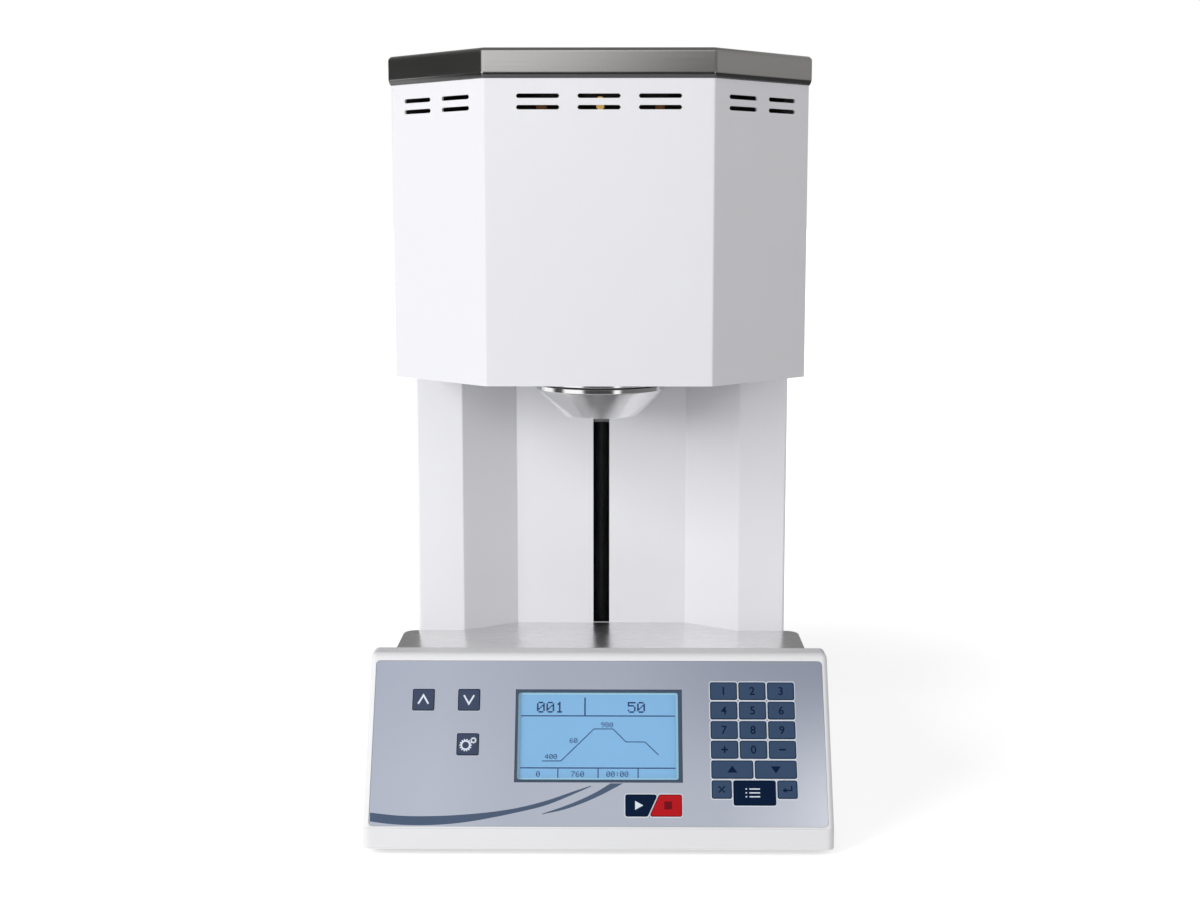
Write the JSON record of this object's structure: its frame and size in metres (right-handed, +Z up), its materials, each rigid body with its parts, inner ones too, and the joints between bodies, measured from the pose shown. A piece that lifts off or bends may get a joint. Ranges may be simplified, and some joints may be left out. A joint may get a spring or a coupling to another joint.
{
  "type": "vacuum ceramic furnace",
  "caption": "Bench furnace with a faceted head over a table, a screw-driven lift that closes the vacuum chamber from below, and a sloping keypad and display console.",
  "frame": {"origin": "middle of the bounding box's bottom, on the surface that the feet stand on", "axes": "+Z up, +X to the operator's right when facing the console, +Y to the back"},
  "size_m": [0.32, 0.3964, 0.5395],
  "materials": {
    "white_paint": "fine powder coat, satin",
    "white_moulding": "smooth satin moulding",
    "brushed_stainless": "brushed along the sheet",
    "zinc_steel": "plain plated sheet",
    "turned_aluminium": "fine turned",
    "polished_steel": "ground and polished",
    "dark_steel": "black finish",
    "brass": "plain turned brass",
    "panel_film": "fine matte film, metallic grey blue",
    "display_glass": "clear window",
    "display_module": "lit panel in a dark frame",
    "circuit_board": "solder mask",
    "key_slate": "matte",
    "key_navy": "matte",
    "key_red": "matte",
    "foot_rubber": "matte",
    "seal_rubber": "satin",
    "insulation": "soft fibre, matte",
    "firing_ceramic": "fine grained",
    "heater_sheath": "translucent sheath",
    "probe_sheath": "smooth",
    "black_plastic": "fine moulded"
  },
  "bodies": {
    "stand": {"base_pan": "zinc_steel", "feet": "foot_rubber", "console_housing": "white_moulding", "keypad_overlay": "panel_film", "display_window": "display_glass", "display_module": "display_module", "keypad_board": "circuit_board", "control_board": "circuit_board", "work_table": "brushed_stainless", "column_casing": "white_paint", "head_casing": "white_paint", "head_floor": "zinc_steel", "top_cap": "brushed_stainless", "rear_cover": "white_paint", "vacuum_pot": "turned_aluminium", "pot_lid": "turned_aluminium", "lid_posts": "brass", "muffle_ring": "insulation", "muffle_roof": "insulation", "heating_rods": "heater_sheath", "thermocouple": "probe_sheath", "flange_ring": "polished_steel", "guide_rods": "polished_steel", "drive_frame": "zinc_steel", "lift_motor": "dark_steel", "screw_bearing": "polished_steel", "mains_inlet": "black_plastic", "switch_frame": "black_plastic", "vacuum_port": "brass"},
    "lift": {"lift_platform": "turned_aluminium", "seal_ring": "seal_rubber", "firing_pedestal": "insulation", "firing_tray": "firing_ceramic", "lift_arm": "dark_steel", "carriage": "turned_aluminium", "lift_nut": "brass"},
    "screw": {"lead_screw": "dark_steel"},
    "rocker": {"power_rocker": "black_plastic"},
    "key_1_cap": {"key_1": "key_slate"},
    "key_2_cap": {"key_2": "key_slate"},
    "key_3_cap": {"key_3": "key_slate"},
    "key_4_cap": {"key_4": "key_slate"},
    "key_5_cap": {"key_5": "key_slate"},
    "key_6_cap": {"key_6": "key_slate"},
    "key_7_cap": {"key_7": "key_slate"},
    "key_8_cap": {"key_8": "key_slate"},
    "key_9_cap": {"key_9": "key_slate"},
    "key_plus_cap": {"key_plus": "key_slate"},
    "key_0_cap": {"key_0": "key_slate"},
    "key_minus_cap": {"key_minus": "key_slate"},
    "key_up_cap": {"key_up": "key_slate"},
    "key_down_cap": {"key_down": "key_slate"},
    "key_cancel_cap": {"key_cancel": "key_slate"},
    "key_program_cap": {"key_program": "key_navy"},
    "key_enter_cap": {"key_enter": "key_slate"},
    "key_start_cap": {"key_start": "key_navy"},
    "key_stop_cap": {"key_stop": "key_red"},
    "key_lift_up_cap": {"key_lift_up": "key_slate"},
    "key_lift_down_cap": {"key_lift_down": "key_slate"},
    "key_settings_cap": {"key_settings": "key_slate"}
  },
  "joints": [
    {"name": "lift_travel", "type": "slide", "parent": "stand", "child": "lift", "axis": [0, 0, 1], "range_m": [-0.17, 0]},
    {"name": "screw_turn", "type": "hinge", "parent": "stand", "child": "screw", "pos_m": [0, 0.12425, 0.2], "axis": [0, 0, 1], "range_deg": [-2, 7652]},
    {"name": "rocker_tilt", "type": "hinge", "parent": "stand", "child": "rocker", "pos_m": [-0.034, 0.17525, 0.048], "axis": [1, 0, 0], "range_deg": [-20, 0]},
    {"name": "key_1_press", "type": "slide", "parent": "stand", "child": "key_1_cap", "axis": [0, -0.8829, 0.4695], "range_m": [-0.0005, 0], "stiffness_N_per_m": 800, "springref_m": 0.0005},
    {"name": "key_2_press", "type": "slide", "parent": "stand", "child": "key_2_cap", "axis": [0, -0.8829, 0.4695], "range_m": [-0.0005, 0], "stiffness_N_per_m": 800, "springref_m": 0.0005},
    {"name": "key_3_press", "type": "slide", "parent": "stand", "child": "key_3_cap", "axis": [0, -0.8829, 0.4695], "range_m": [-0.0005, 0], "stiffness_N_per_m": 800, "springref_m": 0.0005},
    {"name": "key_4_press", "type": "slide", "parent": "stand", "child": "key_4_cap", "axis": [0, -0.8829, 0.4695], "range_m": [-0.0005, 0], "stiffness_N_per_m": 800, "springref_m": 0.0005},
    {"name": "key_5_press", "type": "slide", "parent": "stand", "child": "key_5_cap", "axis": [0, -0.8829, 0.4695], "range_m": [-0.0005, 0], "stiffness_N_per_m": 800, "springref_m": 0.0005},
    {"name": "key_6_press", "type": "slide", "parent": "stand", "child": "key_6_cap", "axis": [0, -0.8829, 0.4695], "range_m": [-0.0005, 0], "stiffness_N_per_m": 800, "springref_m": 0.0005},
    {"name": "key_7_press", "type": "slide", "parent": "stand", "child": "key_7_cap", "axis": [0, -0.8829, 0.4695], "range_m": [-0.0005, 0], "stiffness_N_per_m": 800, "springref_m": 0.0005},
    {"name": "key_8_press", "type": "slide", "parent": "stand", "child": "key_8_cap", "axis": [0, -0.8829, 0.4695], "range_m": [-0.0005, 0], "stiffness_N_per_m": 800, "springref_m": 0.0005},
    {"name": "key_9_press", "type": "slide", "parent": "stand", "child": "key_9_cap", "axis": [0, -0.8829, 0.4695], "range_m": [-0.0005, 0], "stiffness_N_per_m": 800, "springref_m": 0.0005},
    {"name": "key_plus_press", "type": "slide", "parent": "stand", "child": "key_plus_cap", "axis": [0, -0.8829, 0.4695], "range_m": [-0.0005, 0], "stiffness_N_per_m": 800, "springref_m": 0.0005},
    {"name": "key_0_press", "type": "slide", "parent": "stand", "child": "key_0_cap", "axis": [0, -0.8829, 0.4695], "range_m": [-0.0005, 0], "stiffness_N_per_m": 800, "springref_m": 0.0005},
    {"name": "key_minus_press", "type": "slide", "parent": "stand", "child": "key_minus_cap", "axis": [0, -0.8829, 0.4695], "range_m": [-0.0005, 0], "stiffness_N_per_m": 800, "springref_m": 0.0005},
    {"name": "key_up_press", "type": "slide", "parent": "stand", "child": "key_up_cap", "axis": [0, -0.8829, 0.4695], "range_m": [-0.0005, 0], "stiffness_N_per_m": 800, "springref_m": 0.0005},
    {"name": "key_down_press", "type": "slide", "parent": "stand", "child": "key_down_cap", "axis": [0, -0.8829, 0.4695], "range_m": [-0.0005, 0], "stiffness_N_per_m": 800, "springref_m": 0.0005},
    {"name": "key_cancel_press", "type": "slide", "parent": "stand", "child": "key_cancel_cap", "axis": [0, -0.8829, 0.4695], "range_m": [-0.0005, 0], "stiffness_N_per_m": 800, "springref_m": 0.0005},
    {"name": "key_program_press", "type": "slide", "parent": "stand", "child": "key_program_cap", "axis": [0, -0.8829, 0.4695], "range_m": [-0.0005, 0], "stiffness_N_per_m": 800, "springref_m": 0.0005},
    {"name": "key_enter_press", "type": "slide", "parent": "stand", "child": "key_enter_cap", "axis": [0, -0.8829, 0.4695], "range_m": [-0.0005, 0], "stiffness_N_per_m": 800, "springref_m": 0.0005},
    {"name": "key_start_press", "type": "slide", "parent": "stand", "child": "key_start_cap", "axis": [0, -0.8829, 0.4695], "range_m": [-0.0005, 0], "stiffness_N_per_m": 800, "springref_m": 0.0005},
    {"name": "key_stop_press", "type": "slide", "parent": "stand", "child": "key_stop_cap", "axis": [0, -0.8829, 0.4695], "range_m": [-0.0005, 0], "stiffness_N_per_m": 800, "springref_m": 0.0005},
    {"name": "key_lift_up_press", "type": "slide", "parent": "stand", "child": "key_lift_up_cap", "axis": [0, -0.8829, 0.4695], "range_m": [-0.0005, 0], "stiffness_N_per_m": 800, "springref_m": 0.0005},
    {"name": "key_lift_down_press", "type": "slide", "parent": "stand", "child": "key_lift_down_cap", "axis": [0, -0.8829, 0.4695], "range_m": [-0.0005, 0], "stiffness_N_per_m": 800, "springref_m": 0.0005},
    {"name": "key_settings_press", "type": "slide", "parent": "stand", "child": "key_settings_cap", "axis": [0, -0.8829, 0.4695], "range_m": [-0.0005, 0], "stiffness_N_per_m": 800, "springref_m": 0.0005}
  ],
  "couplings": [
    {"joint": "screw_turn", "follows": "lift_travel", "rad_per_m": -785.4}
  ]
}
